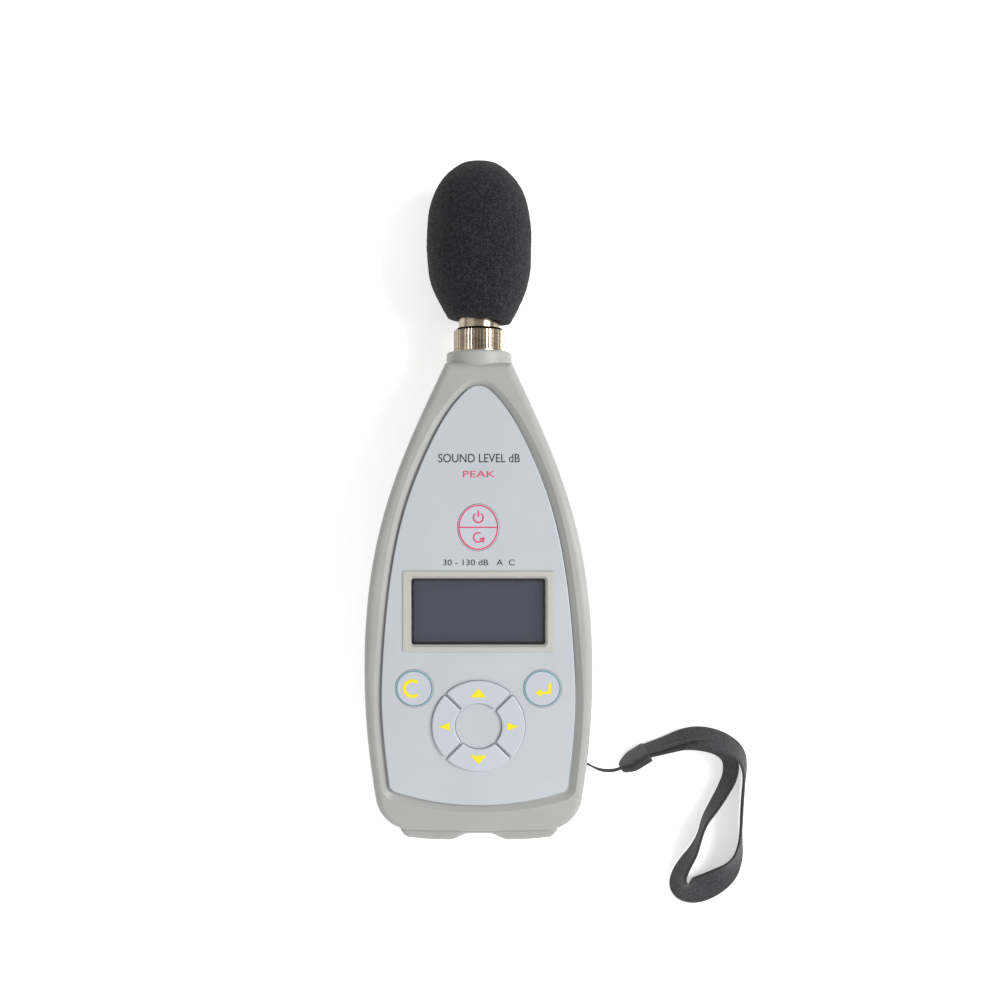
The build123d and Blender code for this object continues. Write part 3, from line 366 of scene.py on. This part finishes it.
def make_stage():
    """The camera, a pale floor and soft studio light from the upper right."""
    data = bpy.data.cameras.new("camera")
    data.lens = LENS
    data.sensor_width = 36.0
    data.clip_start = 0.01
    camera = bpy.data.objects.new("camera", data)
    bpy.context.scene.collection.objects.link(camera)
    camera.location = (CAMERA_X * MM, CAMERA_Y * MM, CAMERA_Z * MM)
    bpy.context.scene.camera = camera

    mesh = bpy.data.meshes.new("floor")
    corners = [(-FLOOR_HALF, -FLOOR_HALF, 0), (FLOOR_HALF, -FLOOR_HALF, 0),
               (FLOOR_HALF, FLOOR_HALF, 0), (-FLOOR_HALF, FLOOR_HALF, 0)]
    mesh.from_pydata(corners, [], [(0, 1, 2, 3)])
    floor = bpy.data.objects.new("floor", mesh)
    bpy.context.scene.collection.objects.link(floor)
    floor.location.z = -FLOOR_DROP
    material, shader = new_material("floor", (0.86, 0.86, 0.86, 1), 0.9)
    shader.inputs["Specular IOR Level"].default_value = 0.1
    shader.inputs["Emission Color"].default_value = (1, 1, 1, 1)
    shader.inputs["Emission Strength"].default_value = 0.5
    paint(floor, material)

    area_light("key", (0.75, 0.12, 0.72), (0, 0, 0.02), (0.5, 0.5), 9.5)
    area_light("fill", (-0.8, -0.1, 0.7), (0, 0, 0.02), (0.9, 0.9), 1.5)
    area_light("front", (0.1, -0.9, 0.6), (0, 0, 0.02), (0.9, 0.5), 3.0)
    world = bpy.data.worlds.new("studio")
    world.use_nodes = True
    world.node_tree.nodes["Background"].inputs["Color"].default_value = (1, 1, 1, 1)
    world.node_tree.nodes["Background"].inputs["Strength"].default_value = 0.45
    bpy.context.scene.world = world
    bpy.context.scene.view_settings.view_transform = "Standard"


# Shared shapes

def nurbs_curve(name, points):
    """One open smooth curve that starts at the first point and ends at the last, in millimetres."""
    curve = bpy.data.curves.new(name, "CURVE")
    curve.dimensions = "3D"
    curve.resolution_u = 16
    spline = curve.splines.new("NURBS")
    spline.points.add(len(points) - 1)
    for point, place in zip(spline.points, points):
        point.co = (*(Vector(place) * MM), 1)
    spline.order_u = 3
    spline.use_endpoint_u = True
    obj = bpy.data.objects.new(name, curve)
    bpy.context.scene.collection.objects.link(obj)
    return obj


def turned_to_mesh(obj):
    """The mesh that a curve or text object makes; the object itself is removed."""
    bpy.context.view_layer.update()
    mesh = bpy.data.meshes.new_from_object(obj.evaluated_get(bpy.context.evaluated_depsgraph_get()))
    bpy.data.objects.remove(obj)
    return mesh


def read_curve(points):
    """The places along the smooth curve of these points, in metres."""
    return [vertex.co.copy() for vertex in turned_to_mesh(nurbs_curve("route", points)).vertices]


def line_length(places):
    return sum((after - before).length for before, after in zip(places, places[1:]))


def evenly(places, values, step):
    """Places and values read again at even steps along the line."""
    total = line_length(places)
    count = round(total / step)
    result = []
    index, done = 0, 0.0
    for number in range(count + 1):
        want = total * number / count
        while index < len(places) - 2 and done + (places[index + 1] - places[index]).length < want:
            done += (places[index + 1] - places[index]).length
            index += 1
        part = (want - done) / (places[index + 1] - places[index]).length
        place = places[index].lerp(places[index + 1], part)
        value = values[index] + (values[index + 1] - values[index]) * part
        result.append((place, value))
    return result


def tube_faces(rows, columns):
    """The faces between the rows of a tube, where each row is a closed ring of vertices."""
    faces = []
    for row in range(rows - 1):
        for column in range(columns):
            right = (column + 1) % columns
            faces.append((row * columns + column, row * columns + right,
                          (row + 1) * columns + right, (row + 1) * columns + column))
    return faces


def end_faces(rows, columns):
    """One face over each end of the tube."""
    last = (rows - 1) * columns
    return [tuple(range(columns)), tuple(range(last, last + columns))]


def mend(mesh, merge_distance=0.0):
    """Merges vertices nearer than a distance in metres, if one is given, and turns the faces outward."""
    build = bmesh.new()
    build.from_mesh(mesh)
    if merge_distance:
        bmesh.ops.remove_doubles(build, verts=build.verts, dist=merge_distance)
    bmesh.ops.recalc_face_normals(build, faces=build.faces)
    build.to_mesh(mesh)
    build.free()


def mesh_object(name, vertices, faces, material):
    """A smooth-shaded piece from vertices in metres."""
    mesh = bpy.data.meshes.new(name)
    mesh.from_pydata(vertices, [], faces)
    mesh.validate()
    mend(mesh)
    for face in mesh.polygons:
        face.use_smooth = True
    obj = bpy.data.objects.new(name, mesh)
    bpy.context.scene.collection.objects.link(obj)
    paint(obj, material)
    return obj


# Strap

def leaning(outward, lean):
    """Directions across the webbing's width and out of its upper face, at a lean in degrees."""
    up = Vector((0, 0, 1))
    across = up * sin(radians(lean)) - outward * cos(radians(lean))
    face = outward * sin(radians(lean)) + up * cos(radians(lean))
    return across, face


def clasp_direction():
    """From the clasp's nose to its mouth."""
    return (Vector((*CLASP_BACK, 0)) - Vector((*CLASP_NOSE, 0))).normalized()


def web_points():
    """The webbing's route from the clasp round the loop and back, and its leans."""
    along = clasp_direction()
    _, face = leaning(Vector((-along.y, along.x, 0)), CLASP_LEAN)
    back = Vector((*CLASP_BACK, CLASP_Z)) - along * WEB_IN_CLASP
    points = [back + face * WEB_SPACING / 2]
    leans = [CLASP_LEAN]
    for x, y, lean, lift in WEB_ROUTE:
        height = WEB_W / 2 * sin(radians(lean)) + WEB_T / 2 * abs(cos(radians(lean))) + lift
        points.append(Vector((x, y, height)))
        leans.append(lean)
    points.append(back - face * WEB_SPACING / 2)
    leans.append(CLASP_LEAN)
    return points, leans


def web_section():
    """Shares of the half width and half thickness round the webbing's section, with rounded selvedges."""
    top = []
    for step in range(WEB_SECTION_STEPS + 1):
        share = -1 + 2 * step / WEB_SECTION_STEPS
        edge = max(0.0, (abs(share) - SELVEDGE_FROM) / (1 - SELVEDGE_FROM))
        roundness = (1 - edge ** 2) ** 0.5
        top.append((share, roundness * (1 - SELVEDGE_THICKNESS) + SELVEDGE_THICKNESS))
    bottom = [(share, -thick) for share, thick in reversed(top)]
    return top + bottom


def strap_webbing():
    """The ribbed nylon loop, with a few rows of its mesh for each rib."""
    points, leans = web_points()
    places = read_curve(points)
    values = [place.x / MM for place in read_curve([(lean, 0, 0) for lean in leans])]
    line = evenly(places, values, RIB_PITCH * MM / RIB_ROWS)
    section = web_section()
    vertices = []
    for index, (place, lean) in enumerate(line):
        before = line[max(index - 1, 0)][0]
        after = line[min(index + 1, len(line) - 1)][0]
        going = (after - before).normalized()
        outward = Vector((-going.y, going.x, 0)).normalized()
        across, face = leaning(outward, lean)
        rib = RIB_DEPTH * (0.5 + 0.5 * cos(2 * pi * index / RIB_ROWS))
        for share, thick in section:
            inside = 1 - abs(share) ** RIB_FADE
            half_t = WEB_T / 2 * abs(thick) - rib * inside
            side = 1 if thick > 0 else -1
            vertices.append(place + across * share * WEB_W / 2 * MM + face * side * half_t * MM)
    faces = tube_faces(len(line), len(section)) + end_faces(len(line), len(section))
    web = mesh_object("webbing_loop", vertices, faces, materials["webbing"])
    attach(web, "casing")
    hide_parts("strap_webbing")
    print("webbing length, mm:", round(line_length(places) / MM, 1))


def clasp_body():
    """The moulded clasp: rounded sections from its small nose to its wide mouth."""
    along = clasp_direction()
    across, face = leaning(Vector((-along.y, along.x, 0)), CLASP_LEAN)
    nose = Vector((*CLASP_NOSE, CLASP_Z))
    length = (Vector(CLASP_BACK) - Vector(CLASP_NOSE)).length
    vertices = []
    for share, width, thick in CLASP_SECTIONS:
        for step in range(CLASP_STEPS):
            angle = 2 * pi * step / CLASP_STEPS
            x = abs(cos(angle)) ** CLASP_SQUARENESS * (1 if cos(angle) > 0 else -1)
            y = abs(sin(angle)) ** CLASP_SQUARENESS * (1 if sin(angle) > 0 else -1)
            place = nose + along * share * length + across * x * width / 2 + face * y * thick / 2
            vertices.append(place * MM)
    faces = tube_faces(len(CLASP_SECTIONS), CLASP_STEPS) + end_faces(len(CLASP_SECTIONS), CLASP_STEPS)
    clasp = mesh_object("strap_clasp_body", vertices, faces, materials["clasp"])
    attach(clasp, "casing")
    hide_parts("strap_clasp")
    return clasp


def strap_thread():
    """The thin loop that ties the strap to the casing."""
    thread = nurbs_curve("strap_cord", THREAD_ROUTE)
    thread.data.bevel_depth = THREAD_D / 2 * MM
    thread.data.bevel_resolution = 4
    thread.data.use_fill_caps = True
    paint(thread, materials["cord"])
    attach(thread, "casing")
    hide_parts("strap_thread")


# Windscreen

def foam_curve():
    """The foam's side as places along and away from the microphone's axis, from its base to its top."""
    top = [(FOAM_TOP_Y, FOAM_CROWN_R, 0), (FOAM_TOP_Y, 0, 0)]
    places = read_curve([(y, radius, 0) for y, radius in FOAM_MARKS] + top)
    line = evenly(places, [0.0] * len(places), line_length(places) / FOAM_RINGS)
    return [(place.x / MM, place.y / MM) for place, _ in line]


def foam_profile():
    """The whole section, from inside the bore out and up to the top."""
    side = foam_curve()
    profile = [(FOAM_BORE_Y, 0.0), (FOAM_BORE_Y, FOAM_BORE_R)]
    for step in range(1, FOAM_BORE_STEPS + 1):
        profile.append((FOAM_BORE_Y + (FOAM_BASE_Y - FOAM_BORE_Y) * step / FOAM_BORE_STEPS, FOAM_BORE_R))
    base_r = side[0][1]
    for step in range(1, FOAM_BASE_STEPS + 1):
        profile.append((FOAM_BASE_Y, FOAM_BORE_R + (base_r - FOAM_BORE_R) * step / FOAM_BASE_STEPS))
    return profile + side[1:]


def foam_windscreen():
    """The cut foam cover, with its cell structure standing out of the surface."""
    profile = foam_profile()
    vertices = []
    for y, radius in profile:
        for segment in range(FOAM_SEGMENTS):
            angle = 2 * pi * segment / FOAM_SEGMENTS
            across, up = cos(angle), sin(angle)
            near_base = max(0.0, 1 - (y - FOAM_BASE_Y) / FOAM_TILT_REACH)
            tilt = (FOAM_TILT * radius * across - FOAM_TILT_RISE) * near_base
            place = Vector((radius * across, y - tilt, MIC_Z + radius * up))
            if radius > FOAM_BORE_R + 0.2:
                cells = noise.noise(place * 1.7) * 0.6 + noise.noise(place * 0.75) * 0.5
                lumps = noise.noise(place * 0.12) * 1.6
                out = Vector((across, 0, up))
                place += out * (cells + lumps - 0.6) * FOAM_GRAIN
            vertices.append(place * MM)
    faces = tube_faces(len(profile), FOAM_SEGMENTS)
    foam = mesh_object("foam_windscreen", vertices, faces, materials["foam"])
    mend(foam.data, 1e-6)
    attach(foam, "foam_cover")
    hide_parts("windscreen")


# Legends

def ellipse(x, y, width, height, steps=96):
    """Points round an ellipse."""
    return [(x + width / 2 * cos(2 * pi * step / steps), y + height / 2 * sin(2 * pi * step / steps))
            for step in range(steps)]


def flat_shape(name, outlines):
    """A filled flat shape from closed outlines; an outline inside another is a hole."""
    curve = bpy.data.curves.new(name, "CURVE")
    curve.dimensions = "2D"
    curve.fill_mode = "BOTH"
    for points in outlines:
        spline = curve.splines.new("POLY")
        spline.points.add(len(points) - 1)
        for point, (x, y) in zip(spline.points, points):
            point.co = (x * MM, y * MM, 0, 1)
        spline.use_cyclic_u = True
    return curve


def lettering(name, words, x, y, width, height):
    """Words in the built-in font, fitted to a width and a cap height in millimetres."""
    text = bpy.data.curves.new(name, "FONT")
    text.body = words
    text.align_x = "CENTER"
    text.align_y = "CENTER"
    text.size = 0.01
    obj = bpy.data.objects.new(name, text)
    bpy.context.scene.collection.objects.link(obj)
    bpy.context.view_layer.update()
    box_width, box_height = obj.dimensions.x, obj.dimensions.y
    bpy.data.objects.remove(obj)
    return text, (width * MM / box_width, height * MM / box_height, x * MM, y * MM)


def printed(name, curve, colour, body, node, fit=None):
    """Lays a flat curve or text on a CAD node's upper surface as a thin layer of ink."""
    curve.extrude = INK_T / 2 * MM
    source = bpy.data.objects.new(name + "_flat", curve)
    bpy.context.scene.collection.objects.link(source)
    mesh = turned_to_mesh(source)
    low = min(vertex.co.x for vertex in mesh.vertices), min(vertex.co.y for vertex in mesh.vertices)
    high = max(vertex.co.x for vertex in mesh.vertices), max(vertex.co.y for vertex in mesh.vertices)
    middle = ((low[0] + high[0]) / 2, (low[1] + high[1]) / 2)
    for vertex in mesh.vertices:
        x, y, z = vertex.co
        if fit:
            x = (x - middle[0]) * fit[0] + fit[2]
            y = (y - middle[1]) * fit[1] + fit[3]
        vertex.co = (x, y, surface_height(nodes[node], x, y) + INK_LIFT * MM + z)
    mend(mesh, 1e-7)
    mesh.name = name
    obj = bpy.data.objects.new(name, mesh)
    bpy.context.scene.collection.objects.link(obj)
    paint(obj, materials[colour])
    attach(obj, body)


def surface_height(node, x, y):
    """Height of a node's upper surface over a point, in metres."""
    hit, place, _, _ = node.ray_cast(Vector((x, y, 0.2)), Vector((0, 0, -1)))
    return place.z if hit else -1.0


def mark(name, outlines, colour, key):
    """A filled shape printed on one key."""
    printed(name, flat_shape(name, outlines), colour, key + "_cap", key)


def ring(name, x, y, width, height, line, colour, key):
    """A printed ring of a given line width on one key."""
    outlines = [ellipse(x, y, width, height), ellipse(x, y, width - 2 * line, height - 2 * line)]
    mark(name, outlines, colour, key)


def strip(x_from, y_from, x_to, y_to, line):
    """A straight stroke as a closed outline."""
    length = hypot(x_to - x_from, y_to - y_from)
    across_x = -(y_to - y_from) / length * line / 2
    across_y = (x_to - x_from) / length * line / 2
    return [(x_from + across_x, y_from + across_y), (x_from - across_x, y_from - across_y),
            (x_to - across_x, y_to - across_y), (x_to + across_x, y_to + across_y)]


def arc_stroke(x, y, radius, line, start, end, steps=24):
    """A stroke along part of a circle as a closed outline, degrees."""
    turns = [radians(start + (end - start) * step / steps) for step in range(steps + 1)]
    outer = [(x + (radius + line / 2) * cos(turn), y + (radius + line / 2) * sin(turn)) for turn in turns]
    inner = [(x + (radius - line / 2) * cos(turn), y + (radius - line / 2) * sin(turn)) for turn in turns]
    return outer + inner[::-1]


def panel_legends():
    """Title, warning word and range line on the front panel."""
    for name, words, y, width, height, colour in (
            ("title", "SOUND LEVEL dB", 12.2, 24.5, 2.6, "ink_black"),
            ("peak_word", "PEAK", 7.4, 9.6, 1.9, "ink_red"),
            ("range_line", "30 - 130 dB   A  C", -19.1, 21.5, 1.75, "ink_black")):
        curve, fit = lettering(name, words, 0.2, y, width, height)
        printed(name, curve, colour, "casing", "front_panel", fit)


def power_legends():
    """Ring, dividing line, power symbol and restart symbol on the oval key."""
    key = "key_power"
    x, y = POWER_KEY
    ring("power_ring", x, y, 11.9, 13.5, 0.36, "ink_red", key)
    mark("power_divider", [strip(-5.7, y, 5.7, y, 0.34)], "ink_red", key)
    power = [arc_stroke(x, y + 2.9, 1.45, 0.42, 125, 415), strip(x, y + 3.1, x, y + 5.0, 0.42)]
    mark("power_symbol", power, "ink_red", key)
    restart = [arc_stroke(x, y - 3.0, 1.4, 0.4, 60, 330),
               [(x + 1.9, y - 2.9), (x + 0.25, y - 3.35), (x + 1.65, y - 4.6)]]
    mark("restart_symbol", restart, "ink_red", key)


def side_key_legends():
    """Rings and yellow marks of the two round keys."""
    x, y = SIDE_KEY_X, SIDE_KEY_Y
    ring("cancel_ring", -x, y, 11.0, 11.0, 0.34, "ink_teal", "key_cancel")
    ring("enter_ring", x, y, 11.0, 11.0, 0.34, "ink_teal", "key_enter")
    mark("cancel_mark", [arc_stroke(CANCEL_MARK_X, y, 2.4, 1.0, 50, 310)], "ink_yellow", "key_cancel")
    enter = [(x - 2.2, y - 1.3), (x - 0.4, y - 2.6), (x - 0.4, y - 1.7), (x + 2.6, y - 1.7),
             (x + 2.6, y + 1.6), (x + 1.7, y + 1.6), (x + 1.7, y - 0.9), (x - 0.4, y - 0.9),
             (x - 0.4, y + 0.0)]
    mark("enter_mark", [enter], "ink_yellow", "key_enter")


def arrow_legends():
    """Yellow arrows on the four raised keys."""
    x, y = ARROW_PAD
    wide, tall = UPRIGHT_ARROW
    top, bottom = y + ARROW_REACH, y - ARROW_REACH
    mark("arrow_up", [[(x - wide / 2, top - tall / 2), (x + wide / 2, top - tall / 2), (x, top + tall / 2)]],
         "ink_yellow", "key_up")
    mark("arrow_down",
         [[(x - wide / 2, bottom + tall / 2), (x, bottom - tall / 2), (x + wide / 2, bottom + tall / 2)]],
         "ink_yellow", "key_down")
    wide, tall = SIDEWAYS_ARROW
    left, right = x - ARROW_REACH, x + ARROW_REACH
    mark("arrow_left",
         [[(left + wide / 2, y - tall / 2), (left + wide / 2, y + tall / 2), (left - wide / 2, y)]],
         "ink_yellow", "key_left")
    mark("arrow_right",
         [[(right - wide / 2, y - tall / 2), (right + wide / 2, y), (right - wide / 2, y + tall / 2)]],
         "ink_yellow", "key_right")


make_stage()
materials = make_materials()
dress_nodes()
clasp = clasp_body()
strap_thread()
strap_webbing()
foam_windscreen()
panel_legends()
power_legends()
side_key_legends()
arrow_legends()
